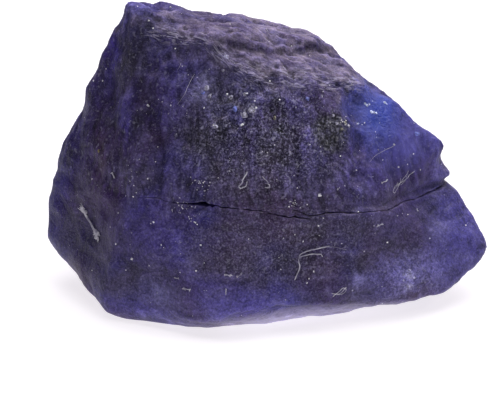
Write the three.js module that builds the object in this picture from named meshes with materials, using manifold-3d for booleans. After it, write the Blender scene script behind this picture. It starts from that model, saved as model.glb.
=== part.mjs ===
// Rough sapphire: one broken lump of corundum that lies on its flattest side.
//
// Millimetres, +Z up, front towards -Y, origin under the middle of the stone on the surface
// that it lies on. The stone is one solid of two storeys: an upper block and a wider slab
// under it. Each storey starts as the hull of its corners. Both are read as a distance from
// one point inside the stone, and the larger distance is kept. What breakage and wear did to
// the surface is added to it: lumps, flutes, layers, ledges, hollows and knobs. Then the mesh
// is thinned to flat facets, the crack between the storeys is cut in, and the underside is cut
// off flat where the stone rests.
import * as THREE from "three";
import { ConvexHull } from "three/addons/math/ConvexHull.js";
import { ImprovedNoise } from "three/addons/math/ImprovedNoise.js";
import { SimplifyModifier } from "three/addons/modifiers/SimplifyModifier.js";
import { mergeVertices } from "three/addons/utils/BufferGeometryUtils.js";
import Module from "manifold-3d";

const wasm = await Module();
wasm.setup();
const { smoothstep } = THREE.MathUtils;

// ---- driving dimensions -------------------------------------------------------------------

const HEART = new THREE.Vector3(-0.5, 1, 10.2); // every distance is measured from here
const EDGE_CRISPNESS = 70; // higher leaves the edges between the faces less worn
const WEAR_ALLOWANCE = 1.02; // the corners stand this much further out before they are worn
const REST_HEIGHT = 0.3; // the underside is cut off this far above its lowest corners

const FINE_DETAIL = 69; // the ball has 20 * (FINE_DETAIL + 1)^2 triangles before it is thinned
const BALL_STRETCH = new THREE.Vector3(1.4, 0.95, 1.05); // more of them at the two far ends
const VERTICES_KEPT = 4200; // about half as many as the triangles of the thinned mesh

// Corners of the upper block, on and above the crack.
const UPPER_CORNERS = [
  // the sloping top, from its peak round the front edge, and back along the far edge
  [-11.8, 1.5, 25.5],
  [-10.5, -0.6, 23.5],
  [-3.3, -3.1, 21.2],
  [-1.0, -4.0, 20.4],
  [4.3, -1.6, 19.2],
  [7.8, 0.8, 18.5],
  [6.0, 3.6, 19.3],
  [3.3, 6.6, 19.7],
  [-1.4, 6.9, 21.6],
  [-7.2, 4.8, 22.1],
  // the left shoulder and flank
  [-13.5, 3.0, 18.0],
  [-16.4, 3.0, 13.4],
  [-17.7, 3.0, 9.6],
  // the front, at half height and at the crack
  [-8.6, -4.6, 16.0],
  [-1.6, -6.4, 15.5],
  [7.2, -3.6, 15.0],
  [-10.4, -6.6, 10.8],
  [-2.0, -8.6, 10.5],
  [7.0, -6.6, 10.0],
  // the right-hand face down to its blunt tip
  [10.6, 1.8, 16.1],
  [14.1, 1.0, 12.6],
  [14.9, 1.0, 10.0],
  // the back
  [8.4, 8.6, 13.0],
  [-2.5, 10.4, 15.0],
  [-11.5, 8.6, 15.0],
  [10.0, 9.4, 9.0],
  [-3.0, 11.6, 9.0],
  [-14.0, 9.0, 9.0],
  // its root inside the slab
  [0, 1, 2],
];

// Corners of the slab, on and below the crack.
const SLAB_CORNERS = [
  // its root inside the upper block
  [-1, 1, 17],
  // its rim at the crack
  [-17.8, 3.0, 9.8],
  [-11.0, -6.2, 10.6],
  [-2.0, -8.4, 10.4],
  [7.4, -6.6, 9.8],
  [14.8, 1.2, 9.3],
  [10.0, 9.4, 9.4],
  [-3.0, 11.6, 9.6],
  [-14.0, 9.0, 9.8],
  // its widest line
  [-18.8, 2.5, 5.2],
  [-18.4, 2.0, 3.7],
  [-13.6, -6.2, 2.6],
  [-3.5, -10.4, 2.6],
  [3.0, -9.4, 2.8],
  [11.0, -6.2, 3.4],
  [16.4, -2.0, 3.3],
  [17.9, -1.0, 4.7],
  [16.9, 1.0, 7.2],
  [13.6, 7.2, 4.0],
  [2.0, 11.4, 4.0],
  [-11.0, 9.8, 4.0],
  // the underside, which is higher at the right
  [-15.0, -2.2, 1.6],
  [-12.5, -6.3, 0.9],
  [-4.0, -9.2, 1.3],
  [3.2, -8.0, 1.6],
  [9.0, -5.7, 2.9],
  [13.8, -4.6, 2.0],
  [12.0, 4.0, 0.2],
  [3.0, 8.0, 0],
  [-7.0, 8.0, 0],
  [-13.0, 4.0, 0.2],
  [-9.6, -6.2, 0],
  [-3.0, -7.6, 0],
  [3.4, -5.6, 0],
];

// Single hollows and knobs: [place, width, height], where a hollow's height is negative.
const HOLLOWS_AND_KNOBS = [
  // the outline of the left flank
  [[-15.4, 2.5, 15.2], 1.8, -0.6],
  [[-14.3, 2.5, 18.9], 0.9, -0.4],
  [[-12.2, 1.7, 23.6], 1.0, -0.4],
  [[-18.0, 1.5, 7.0], 0.8, 0.35],
  [[-18.2, 1.6, 3.4], 2.0, 0.35],
  // the scallop in the top's front edge, right of the peak, and a dip and a rise in its far edge
  [[-6.9, -1.8, 22.4], 2.0, -0.6],
  [[-6.0, 3.8, 23.2], 2.0, -0.75],
  [[-3.0, 5.6, 21.6], 1.3, 0.45],
  // the saddle at the top's right-hand end, and the knob below it
  [[8.8, 1.4, 17.8], 1.5, -0.6],
  [[11.0, 1.0, 15.6], 1.2, 0.15],
  // the blunt tip of the right-hand face, a knob above it and the notches under it
  [[12.8, 1.0, 14.2], 1.0, 0.3],
  [[14.4, 1.0, 13.1], 1.1, 0.5],
  [[14.8, 1.0, 11.3], 0.8, -0.7],
  [[14.9, 1.0, 10.3], 0.7, 0.1],
  // the pit where the crack starts, and the dent that holds the dark inclusion
  [[-5.6, -8.2, 10.6], 1.1, -0.9],
  [[5.2, -5.2, 14.4], 1.8, -0.35],
  // the hollow under the crack, and the roll along the bottom edge
  [[2.5, -9.4, 6.6], 3.6, -0.7],
  [[-5.0, -9.8, 3.4], 3.0, 0.3],
  [[13.0, -4.6, 4.0], 2.8, 0.5],
  [[17.6, -1.2, 3.6], 1.7, 0.5],
  // the back: a scoop, a shoulder and a broken corner
  [[-5.0, 10.6, 13.0], 4.2, -1.3],
  [[5.5, 10.2, 9.0], 3.2, 0.7],
  [[-12.5, 9.6, 6.0], 3.0, -0.9],
  [[11.5, 7.4, 11.0], 2.4, -0.7],
  // the left end and the underside
  [[-17.2, 3.5, 12.0], 2.2, 0.35],
  [[-3.0, 0.5, 0.0], 4.5, -0.9],
];

// Ledges across the top: [left end, right end, height of the step, its width]. Each rises
// towards the back.
const LEDGES = [
  [[-4.4, -2.2, 22.4], [5.0, 3.9, 19.6], 0.7, 0.35],
  [[-3.4, -2.2, 21.2], [0.8, -2.9, 20.0], 0.45, 0.3],
];

// Single grooves down the left flank and the front: [top, bottom, width, depth].
const GROOVES = [
  [[-10.2, -2.6, 21.5], [-9.4, -6.2, 11.5], 0.9, 0.7],
  [[-13.9, 0.4, 19.0], [-14.6, -2.6, 11.0], 0.7, 0.4],
  [[-6.6, -4.6, 17.0], [-6.8, -7.2, 12.0], 0.6, 0.3],
  [[1.6, -4.6, 17.5], [2.4, -7.0, 12.0], 0.6, 0.35],
  [[6.9, -1.2, 17.6], [7.2, -5.0, 12.5], 0.6, 0.4],
  [[-6.0, -10.4, 5.0], [6.0, -9.6, 5.6], 0.7, 0.35],
];

// The crack between the storeys, from its left end round the front to its end at the back.
// Angles are degrees round the heart, 0 to the right and -90 to the front.
const CRACK = [
  { angle: -152, height: 11.0, depth: 0.25 },
  { angle: -140, height: 11.1, depth: 0.8 },
  { angle: -119, height: 11.05, depth: 1.7 },
  { angle: -96, height: 10.45, depth: 1.5 },
  { angle: -70, height: 9.75, depth: 1.4 },
  { angle: -51, height: 9.75, depth: 1.2 },
  { angle: -21, height: 9.3, depth: 1.5 },
  { angle: -7, height: 9.3, depth: 1.8 },
  { angle: 8, height: 9.5, depth: 1.8 },
  { angle: 35, height: 9.7, depth: 1.0 },
  { angle: 62, height: 9.4, depth: 0.25 },
];
const CRACK_STEPS = 64; // how many times the crack is set out afresh on the surface
const CRACK_GAPE = 0.13; // how much it opens for each millimetre of its depth
const CRACK_OVERSHOOT = 1.2; // the cut stands this far out of the stone
const CRACK_WANDER = 0.3; // how strongly it strays up and down from its smooth course

// ---- relief ---------------------------------------------------------------------------------

const perlin = new ImprovedNoise();
const NOISE_ORIGIN = [37.2, 11.7, 5.3];

// Smooth noise, about -0.7 to 0.7, whose lumps are as long as grain says along each axis.
function noise(place, grain) {
  const [x, y, z] = place.toArray().map((value, axis) => value / grain[axis] + NOISE_ORIGIN[axis]);
  return perlin.noise(x, y, z);
}

// Noise folded into rounded ridges with sharp valleys between them, about -0.6 to 0.4.
function ridges(place, grain) {
  return 0.4 - 1.6 * Math.abs(noise(place, grain));
}

// How far a ledge lifts a place: its full height behind the line, fading out past both ends.
function ledgeLift(place, [left, right, height, width]) {
  const start = new THREE.Vector3(...left);
  const along = new THREE.Vector3(...right).sub(start);
  const share = place.clone().sub(start).dot(along) / along.lengthSq();
  const line = start.addScaledVector(along, share);
  const behind = place.y - line.y + 0.8 * noise(place, [1.8, 1.8, 1.8]);
  const ends = smoothstep(share, -0.25, 0.1) * (1 - smoothstep(share, 0.9, 1.2));
  const depth = 1 - smoothstep(behind, 1, 5);
  const onTop = smoothstep(place.z - line.z, -2.5, -1.2);
  return height * smoothstep(behind, -width, width) * ends * depth * onTop;
}

// How deep a groove is at a place.
function grooveDepth(place, [top, bottom, width, depth]) {
  const line = new THREE.Line3(new THREE.Vector3(...top), new THREE.Vector3(...bottom));
  const nearest = line.closestPointToPoint(place, true, new THREE.Vector3());
  const away = nearest.distanceTo(place) / (width * (1 + 0.5 * noise(place, [1.5, 1.5, 3])));
  return depth * Math.exp(-away * away);
}

// How far the surface stands out at a place, or lies in if negative.
function relief(place) {
  const lumps = 0.5 * noise(place, [7, 7, 7]) + 0.3 * noise(place, [3.1, 3.1, 3.1]);
  const grit = 0.16 * ridges(place, [1.7, 1.7, 1.7]) + 0.08 * noise(place, [0.8, 0.8, 0.8]);
  // Flutes run down the upper block, and layers run round the slab.
  const upper = smoothstep(place.z, 10, 12);
  const flutes = 0.35 * ridges(place, [2.6, 2.6, 16]);
  const layers = 0.3 * ridges(place, [14, 14, 2.2]);
  let height = lumps + grit + upper * flutes + (1 - upper) * layers;
  for (const [centre, width, rise] of HOLLOWS_AND_KNOBS) {
    const away = place.distanceTo(new THREE.Vector3(...centre)) / width;
    height += rise * Math.exp(-away * away);
  }
  for (const groove of GROOVES) height -= grooveDepth(place, groove);
  for (const ledge of LEDGES) height += ledgeLift(place, ledge);
  return height;
}

// ---- the two storeys ------------------------------------------------------------------------

// The planes that bound the hull of the corners, as [outward normal, distance from HEART].
function facesOf(corners) {
  const points = corners.map((c) => new THREE.Vector3(...c).sub(HEART).multiplyScalar(WEAR_ALLOWANCE));
  return new ConvexHull().setFromPoints(points).faces.map((f) => [f.normal.clone(), f.constant]);
}

const UPPER_FACES = facesOf(UPPER_CORNERS);
const SLAB_FACES = facesOf(SLAB_CORNERS);

// How far the hull reaches along a direction, with its edges worn round.
function reach(faces, direction) {
  let sum = 0;
  for (const [normal, distance] of faces) {
    const facing = normal.dot(direction) / distance;
    if (facing > 0) sum += facing ** EDGE_CRISPNESS;
  }
  return sum ** (-1 / EDGE_CRISPNESS);
}

// The place on the stone's surface along a direction from its heart.
function surface(direction) {
  const distance = Math.max(reach(UPPER_FACES, direction), reach(SLAB_FACES, direction));
  const place = direction.clone().multiplyScalar(distance).add(HEART);
  return place.addScaledVector(direction, relief(place));
}

// ---- the solid ------------------------------------------------------------------------------

// The stone's surface as a fine mesh, which is a ball pulled out to it.
function fineGeometry() {
  const ball = new THREE.IcosahedronGeometry(1, FINE_DETAIL);
  ball.deleteAttribute("normal");
  ball.deleteAttribute("uv");
  const geometry = mergeVertices(ball, 1e-6);
  const vertices = geometry.getAttribute("position");
  for (let i = 0; i < vertices.count; i++) {
    const direction = new THREE.Vector3().fromBufferAttribute(vertices, i).multiply(BALL_STRETCH);
    vertices.setXYZ(i, ...surface(direction.normalize()).toArray());
  }
  return geometry;
}

// The fine mesh thinned to flat facets, which stay small only along edges.
async function facetedGeometry() {
  const fine = fineGeometry();
  const spare = fine.getAttribute("position").count - VERTICES_KEPT;
  return new SimplifyModifier().modify(fine, spare);
}

// The place on the surface at an angle round the heart and at a height.
function surfaceAt(angle, height) {
  const direction = new THREE.Vector3(Math.cos(angle), Math.sin(angle), 0);
  let place = surface(direction.clone());
  for (let i = 0; i < 3; i++) {
    const out = Math.hypot(place.x - HEART.x, place.y - HEART.y);
    direction.z = (height - HEART.z) / out;
    place = surface(direction.clone().normalize());
  }
  return place;
}

// The crack as the wedge that it takes out of the stone: at each step its tip inside the stone,
// and the upper and the lower side of its mouth.
function crackGeometry() {
  const course = new THREE.CatmullRomCurve3(
    CRACK.map(({ angle, height, depth }) => new THREE.Vector3(angle / 10, height, depth)),
  );
  const vertices = [];
  for (const step of course.getSpacedPoints(CRACK_STEPS)) {
    const angle = THREE.MathUtils.degToRad(step.x * 10);
    const outward = new THREE.Vector3(Math.cos(angle), Math.sin(angle), 0);
    const stray = CRACK_WANDER * noise(outward, [0.16, 0.16, 0.16]);
    const mouth = surfaceAt(angle, step.y + stray);
    const tip = mouth.clone().addScaledVector(outward, -step.z);
    const end = mouth.clone().addScaledVector(outward, CRACK_OVERSHOOT);
    const halfOpening = (CRACK_GAPE / 2) * (step.z + CRACK_OVERSHOOT);
    vertices.push(tip.x, tip.y, tip.z);
    vertices.push(end.x, end.y, end.z + halfOpening);
    vertices.push(end.x, end.y, end.z - halfOpening);
  }
  const triangles = [];
  for (let i = 0; i < CRACK_STEPS; i++) {
    for (let side = 0; side < 3; side++) {
      const a = 3 * i + side;
      const b = 3 * i + ((side + 1) % 3);
      triangles.push(a, b, a + 3, b, b + 3, a + 3);
    }
  }
  const last = 3 * CRACK_STEPS;
  triangles.push(0, 2, 1, last, last + 1, last + 2);
  const geometry = new THREE.BufferGeometry();
  geometry.setAttribute("position", new THREE.Float32BufferAttribute(vertices, 3));
  geometry.setIndex(triangles);
  return geometry;
}

function toManifold(geometry) {
  const vertProperties = new Float32Array(geometry.getAttribute("position").array);
  const triVerts = new Uint32Array(geometry.getIndex().array);
  return new wasm.Manifold(new wasm.Mesh({ numProp: 3, vertProperties, triVerts }));
}

// The finished stone, cut and set down with its origin under its middle.
async function stoneGeometry() {
  const lump = toManifold(await facetedGeometry());
  const cracked = lump.subtract(toManifold(crackGeometry()));
  const { vertProperties, triVerts } = cracked.trimByPlane([0, 0, 1], REST_HEIGHT).getMesh();
  const geometry = new THREE.BufferGeometry();
  geometry.setAttribute("position", new THREE.Float32BufferAttribute(vertProperties, 3));
  geometry.setIndex([...triVerts]);
  geometry.computeBoundingBox();
  const { min, max } = geometry.boundingBox;
  geometry.translate(-(min.x + max.x) / 2, -(min.y + max.y) / 2, -min.z);
  return geometry;
}

const stone = new THREE.Mesh(
  await stoneGeometry(),
  new THREE.MeshStandardMaterial({ color: 0x2b2750, roughness: 0.55, metalness: 0 }),
);
stone.name = "sapphire";

const part = new THREE.Group();
part.add(stone);

export default part;
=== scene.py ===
import math
import random

import bmesh
import bpy
import numpy as np
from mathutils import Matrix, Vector, noise
from mathutils.bvhtree import BVHTree


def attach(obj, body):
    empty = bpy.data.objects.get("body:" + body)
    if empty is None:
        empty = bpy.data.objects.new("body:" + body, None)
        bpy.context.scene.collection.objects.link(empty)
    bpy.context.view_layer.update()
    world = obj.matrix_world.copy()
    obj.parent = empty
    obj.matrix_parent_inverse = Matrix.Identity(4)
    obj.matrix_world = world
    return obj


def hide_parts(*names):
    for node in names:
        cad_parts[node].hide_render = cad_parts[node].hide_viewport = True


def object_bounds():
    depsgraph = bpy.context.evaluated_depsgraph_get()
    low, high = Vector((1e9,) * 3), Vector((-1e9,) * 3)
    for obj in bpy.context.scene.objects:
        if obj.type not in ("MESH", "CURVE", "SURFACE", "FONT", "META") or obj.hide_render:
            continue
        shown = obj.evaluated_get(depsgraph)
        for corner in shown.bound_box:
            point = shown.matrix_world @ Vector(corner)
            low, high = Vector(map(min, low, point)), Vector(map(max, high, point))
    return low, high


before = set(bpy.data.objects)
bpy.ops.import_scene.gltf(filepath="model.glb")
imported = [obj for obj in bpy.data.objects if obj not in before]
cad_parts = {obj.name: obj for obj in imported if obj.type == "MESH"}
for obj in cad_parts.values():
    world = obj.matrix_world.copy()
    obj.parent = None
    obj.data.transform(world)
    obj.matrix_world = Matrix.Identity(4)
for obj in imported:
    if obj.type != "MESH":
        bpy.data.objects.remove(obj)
cad_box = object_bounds()
MM = 0.001


# ---- The stone: its surface ----
# Corundum has no cleavage, so the lump is bounded by uneven breaks. Wear in a river or a sack
# has rounded them to a waxy skin: fluted down the upper storey, layered round the lower one.

SKIN_PITCH = 0.187  # side of the even squares that the surface is laid out in, in mm
SKIN_SMOOTHING = 3  # rounds of smoothing that take the facets off the solid


def placed(name, data):
    """A new object in the scene, made from a mesh, a light or a camera."""
    thing = bpy.data.objects.new(name, data)
    bpy.context.scene.collection.objects.link(thing)
    return thing


def as_modified(thing):
    """The mesh that an object's modifiers make of its own."""
    return bpy.data.meshes.new_from_object(
        thing.evaluated_get(bpy.context.evaluated_depsgraph_get())
    )


def evenly_meshed(cad_object, pitch):
    """A copy of a CAD node's surface as a mesh of even squares."""
    copy = placed("copy", cad_object.data.copy())
    remesh = copy.modifiers.new("Remesh", "REMESH")
    remesh.mode = "VOXEL"
    remesh.voxel_size = pitch * MM
    mesh = as_modified(copy)
    bpy.data.objects.remove(copy)
    return mesh


def places_of(mesh):
    """The vertices of a mesh as an array, in millimetres."""
    flat = np.empty(3 * len(mesh.vertices))
    mesh.vertices.foreach_get("co", flat)
    return flat.reshape(-1, 3) / MM


def normals_of(mesh):
    """The way out of the surface at each vertex of a mesh, as an array."""
    flat = np.empty(3 * len(mesh.vertices))
    mesh.vertex_normals.foreach_get("vector", flat)
    return flat.reshape(-1, 3)


def set_places(mesh, places):
    """Moves the vertices of a mesh to these places in millimetres."""
    mesh.vertices.foreach_set("co", (places * MM).astype(np.float32).ravel())
    mesh.update()


def smoothed(mesh, rounds):
    """The mesh's places after each has moved half way to its neighbours' mean, so many times."""
    edges = np.empty(2 * len(mesh.edges), dtype=int)
    mesh.edges.foreach_get("vertices", edges)
    ends = edges.reshape(-1, 2)
    places = places_of(mesh)
    counts = np.bincount(edges, minlength=len(places))[:, None]
    for _ in range(rounds):
        sums = np.zeros_like(places)
        np.add.at(sums, ends[:, 0], places[ends[:, 1]])
        np.add.at(sums, ends[:, 1], places[ends[:, 0]])
        places = (places + sums / counts) / 2
    return places


def ramp(value, low, high):
    """0 below low, 1 above high, and an even curve between."""
    share = min(max((value - low) / (high - low), 0), 1)
    return share * share * (3 - 2 * share)


def ripple(place, x_size, y_size, z_size):
    """Smooth noise from -1 to 1, with lumps of these sizes in millimetres."""
    return noise.noise((place[0] / x_size + 7.3, place[1] / y_size + 2.1, place[2] / z_size + 5.9))


def ridge(place, x_size, y_size, z_size):
    """Noise folded into rounded ridges with sharp valleys between them, -0.7 to 0.3."""
    return 0.3 - abs(ripple(place, x_size, y_size, z_size))


def crystal_face(place, size):
    """Flat little faces, each tilted its own way, as on a mass of crystals of this size."""
    spot = Vector(place) / size
    nearest = noise.voronoi(spot)[1][0]
    lean = noise.cell_vector(nearest * 23.0) - Vector((0.5, 0.5, 0.5))
    return (spot - nearest).dot(lean)


# the frayed ridge between the top and the front, from left to right
RIDGE = [
    (-9.1, -1.3, 22.7),
    (-7.1, -1.7, 22.4),
    (-5.2, -2.4, 22.1),
    (-3.0, -3.8, 21.0),
    (-1.6, -4.3, 20.2),
    (0.8, -3.9, 19.5),
    (2.8, -3.6, 19.2),
    (4.2, -2.8, 18.9),
    (6.7, -1.2, 18.1),
    (8.6, 0.4, 17.6),
]
# the foot of the step that crosses the top, from left to right
LEDGE = [
    (-3.9, -2.6, 22.7),
    (-2.7, -2.2, 22.1),
    (-1.0, -2.0, 21.7),
    (0.1, -1.3, 21.3),
    (1.3, 0.0, 20.8),
    (2.5, 1.3, 20.3),
    (4.6, 2.9, 20.0),
]
LEDGE_RISE, LEDGE_SLOPE = 0.26, 0.18  # half its height, and half the width of its slope, in mm
LEDGE_REACH = 1.3  # how far from it the top is lifted or lowered, in mm
WINDOW = (9.5, -1.6, 15.7)  # the middle of the clean blue window on the right
CRACK_BAND = (9.3, 10.3)  # the heights between which the lower storey gives way to the upper
BARE_FOOT = 0.6  # the height in mm up to which the relief fades out, and no grit lies


def ledge_frame(places):
    """How far each place is from the ledge, and how far behind it (in front is negative)."""
    away, behind = np.full(len(places), np.inf), np.zeros(len(places))
    for start, end in zip(np.array(LEDGE), np.array(LEDGE[1:])):
        along = end - start
        share = np.clip((places - start) @ along / (along @ along), 0, 1)
        offset = places - start - share[:, None] * along
        distance = np.linalg.norm(offset, axis=1)
        closer = distance < away
        across = (along[0] * offset[:, 1] - along[1] * offset[:, 0]) / np.hypot(*along[:2])
        away, behind = np.where(closer, distance, away), np.where(closer, across, behind)
    return away, behind


def nearness(places, middle, reach, crispness):
    """1 at the middle of an egg-shaped region, and fading to 0 outside it."""
    return np.exp(-(np.linalg.norm((places - middle) / reach, axis=1) ** crispness))


def ridge_frame(places):
    """How far behind the ridge each place is (below it is negative), and its share of fraying."""
    x, y, z = places.T
    line_x, line_y, line_z = np.array(RIDGE).T
    back, rise = y - np.interp(x, line_x, line_y), z - np.interp(x, line_x, line_z)
    behind = 0.7 * (back + rise)
    reach = np.where(behind > 0, np.interp(x, [-9, -3, 3, 8], [0.7, 1.1, 1.9, 1.3]), 0.6)
    ends = np.clip((x + 10.5) / 2, 0, 1) * np.clip((8.8 - x) / 2, 0, 1)
    return behind, ends * np.exp(-((np.hypot(back, rise) / reach) ** 3))


def relief(place, normal, behind, frayed):
    """How far the surface stands out at a place on the stone, in millimetres."""
    upper = ramp(place[2], *CRACK_BAND)
    top = ramp(normal[2], 0.6, 0.85) * ramp(place[2], 14, 17)
    sides = upper * (1 - top)
    past_corner = ramp(place[0], -12, -6)
    # lumps of 1.3 and 0.6 mm all over, worn low at the left of the lower storey
    calm = 1 - 0.6 * (1 - upper) * (1 - past_corner)
    height = calm * (0.10 * ripple(place, 1.3, 1.3, 1.3) + 0.05 * ripple(place, 0.6, 0.6, 0.6))
    # flutes 0.9 mm wide down the upper storey, which wander as they run
    stray = 0.9 * ripple(place, 3.0, 3.0, 4.0)
    fluted = Vector((place[0] + stray, place[1] + stray, place[2]))
    height += sides * (0.12 + 0.10 * ramp(-normal[1], 0, 0.5)) * ridge(fluted, 0.9, 0.9, 6.0)
    # layers 0.8 mm thick round the lower storey
    height += (1 - upper) * (0.03 + 0.10 * past_corner) * ridge(place, 6.0, 6.0, 0.8)
    # furrows 0.9 mm wide from left to right on the top, and pits between them
    height += top * 0.22 * ridge(place, 4.0, 0.9, 1.5)
    height -= top * 0.25 * ramp(ripple(place, 0.9, 0.6, 0.9), 0.25, 0.5)
    # fibres 0.4 mm wide along the frayed ridge
    height += frayed * 0.16 * ridge((place[0], behind, place[2]), 0.9, 0.38, 0.8)
    # the front of the upper storey is a mass of crystals about 1 mm across
    front = sides * ramp(-normal[1], 0.5, 0.8) * (1 - ramp(abs(place[0] - 0.5), 6, 8))
    height += front * 0.22 * crystal_face(place, 0.9)
    return height


skin = evenly_meshed(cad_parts["sapphire"], SKIN_PITCH)
set_places(skin, smoothed(skin, SKIN_SMOOTHING))
skin_places, skin_normals = places_of(skin), normals_of(skin)
behind, frayed = ridge_frame(skin_places)
heights = np.array([relief(*at) for at in zip(skin_places, skin_normals, behind, frayed)])
# the step across the top: down in front of its foot, and up behind it
away, behind_ledge = ledge_frame(skin_places)
rise = LEDGE_RISE * np.interp(skin_places[:, 0], [-4, -2, 2.5, 5], [0.4, 1, 1, 0.5])
heights += rise * np.tanh(behind_ledge / LEDGE_SLOPE) * np.exp(-((away / LEDGE_REACH) ** 2))
# the clean window is the smoothest
heights *= 1 - 0.75 * nearness(skin_places, WINDOW, (2.8, 3.5, 2.6), 3)
heights *= np.clip(skin_places[:, 2] / BARE_FOOT, 0, 1)
skin_places += skin_normals * heights[:, None]
lowest, highest = (np.array(corner) / MM for corner in cad_box)
set_places(skin, np.clip(skin_places, lowest, highest))

stone = placed("stone", skin)
for polygon in skin.polygons:
    polygon.use_smooth = True


# ---- The crack ----
# The two storeys have parted along two strands that overlap at the middle of the front. Each is
# a thin wedge that runs into the stone: open and black where it is deep, a hair at its ends.

HEART = Vector((-0.33, 0.47, 9.9))  # the middle of the stone at the crack, in mm
# angle round the heart in degrees (-90 is the front), height, depth, gape at the mouth
LEFT_STRAND = [
    (-144, 10.75, 0.2, 0.04),
    (-139, 10.75, 0.6, 0.05),
    (-133, 10.65, 0.9, 0.07),
    (-126, 10.5, 1.2, 0.12),
    (-121, 10.5, 1.8, 0.40),
    (-117, 10.5, 1.8, 0.36),
    (-113, 10.6, 0.8, 0.10),
    (-110, 10.55, 0.9, 0.15),
    (-104, 10.4, 0.9, 0.11),
    (-101, 10.35, 0.7, 0.04),
    (-98, 10.35, 1.0, 0.12),
    (-93, 10.25, 1.0, 0.11),
    (-88, 9.95, 0.9, 0.06),
    (-82, 9.7, 1.2, 0.11),
    (-75, 9.55, 1.2, 0.16),
    (-70, 9.45, 0.9, 0.13),
    (-66, 9.4, 0.3, 0.05),
]
RIGHT_STRAND = [
    (-86, 10.4, 0.3, 0.04),
    (-79, 10.25, 1.0, 0.05),
    (-72, 10.0, 1.3, 0.06),
    (-66, 9.6, 1.4, 0.10),
    (-56, 9.75, 1.4, 0.13),
    (-50, 9.7, 1.4, 0.10),
    (-41, 9.45, 1.4, 0.07),
    (-34, 9.2, 1.4, 0.04),
    (-30, 9.05, 1.2, 0.05),
    (-24, 9.05, 1.2, 0.11),
    (-17, 8.95, 1.2, 0.09),
    (-13, 8.8, 1.2, 0.05),
    (-10, 8.8, 1.2, 0.12),
    (-4, 8.9, 1.4, 0.18),
    (6, 9.1, 1.4, 0.17),
    (20, 9.3, 1.2, 0.15),
    (40, 9.3, 0.9, 0.10),
    (62, 9.1, 0.3, 0.05),
]
STRAND_STEP = 1.0  # degrees from one section of a strand to the next
STRAND_WANDER = 0.1  # how far a strand wanders up and down, in mm
STRAND_UNEVEN = 0.8  # how much its gape varies, as a share of it
STRAND_OVERSHOOT = 0.8  # how far the wedge stands out of the stone before it is cut, in mm
HAIR = 0.001  # vertices closer than this, in mm, are one
PAST_STONE = 40  # mm from the heart to where a ray towards the stone starts


def surface_at(tree, angle, height):
    """The place on the stone at an angle round its heart and at a height."""
    outward = Vector((math.cos(angle), math.sin(angle), 0))
    start = (Vector((HEART.x, HEART.y, height)) + outward * PAST_STONE) * MM
    return tree.ray_cast(start, -outward)[0] / MM, outward


def wedge(strand, seed, tree):
    """The strand as a closed thin wedge: a tip inside the stone and a mouth outside it."""
    angles, levels, depths, gapes = zip(*strand)
    mesh = bmesh.new()
    sections = []
    for angle in np.arange(angles[0], angles[-1], STRAND_STEP):
        level, depth, gape = (np.interp(angle, angles, row) for row in (levels, depths, gapes))
        level += STRAND_WANDER * noise.noise((angle / 3.0, seed, 0))
        gape *= 1 + STRAND_UNEVEN * noise.noise((angle / 2.0, seed, 3))
        mouth, outward = surface_at(tree, math.radians(angle), level)
        rise = Vector((0, 0, gape / 2 * (depth + STRAND_OVERSHOOT) / depth))
        end = mouth + outward * STRAND_OVERSHOOT
        corners = [mouth - outward * depth, end + rise, end - rise]
        sections.append([mesh.verts.new(corner * MM) for corner in corners])
    for one, two in zip(sections, sections[1:]):
        for here, onward in ((0, 1), (1, 2), (2, 0)):
            mesh.faces.new((one[here], one[onward], two[onward], two[here]))
    mesh.faces.new(sections[0])
    mesh.faces.new(sections[-1])
    bmesh.ops.recalc_face_normals(mesh, faces=mesh.faces)
    data = bpy.data.meshes.new("wedge")
    mesh.to_mesh(data)
    return placed("wedge", data)


whole_tree = BVHTree.FromObject(stone, bpy.context.evaluated_depsgraph_get())
for seed, strand in enumerate((LEFT_STRAND, RIGHT_STRAND)):
    cutter = wedge(strand, seed, whole_tree)
    cut = stone.modifiers.new("Crack", "BOOLEAN")
    cut.operation = "DIFFERENCE"
    cut.solver = "MANIFOLD"
    cut.object = cutter
    cracked = as_modified(stone)
    stone.modifiers.clear()
    stone.data = cracked
    bpy.data.objects.remove(cutter)

# where a wall of the crack meets the skin, the cut leaves hairs of surface with nothing in them
shell = bmesh.new()
shell.from_mesh(stone.data)
bmesh.ops.remove_doubles(shell, verts=shell.verts, dist=HAIR * MM)
slack = [vert for vert in shell.verts if len(vert.link_edges) == 2]
bmesh.ops.dissolve_verts(shell, verts=slack)
shell.to_mesh(stone.data)

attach(stone, "root")
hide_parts("sapphire")


# ---- The stone: its colour ----
# Corundum with iron and titanium in it: blue where it is clean, violet brown or grey where it is
# full of silk. Its worn breaks are waxy, and let a little light in. Dust dulls what faces up.


def linear(hex_colour):
    """An sRGB hex colour as linear red, green, blue and alpha."""
    channels = [int(hex_colour[i : i + 2], 16) / 255 for i in (1, 3, 5)]
    return [c / 12.92 if c <= 0.04045 else ((c + 0.055) / 1.055) ** 2.4 for c in channels] + [1.0]


CLEAN_BLUE = "#3b3572"
VIOLET_BROWN = "#413155"
GREY_SILK = "#433c5c"
# dust on what faces up, paler than dust alone: partly painted sheen
TOP_DUST_AND_SHEEN = "#7c7089"
# painted shade at the foot of the step across the top
LEDGE_PAINTED_SHADE = "#332a48"
# painted light: the floor's glow on the thin foot
FLOOR_GLOW = "#c6bfe2"
# painted shade in the crack
CRACK_PAINTED_SHADE = "#0f0b1e"
CRACK_SHADE_DEPTH = 0.15  # how deep in mm the walls of the crack are fully dark
VEIL_SIZES = (5.0, 2.2)  # the wide veils and the small ones in them, in mm
OUTLINE_WANDER = 1.0  # how far a cloud's outline wanders, in mm
INCLUSION = ((5.2, -4.8, 15.6), (1.6, 1.8, 1.7))  # its middle and reach in mm
INCLUSION_CRISPNESS = 9
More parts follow.
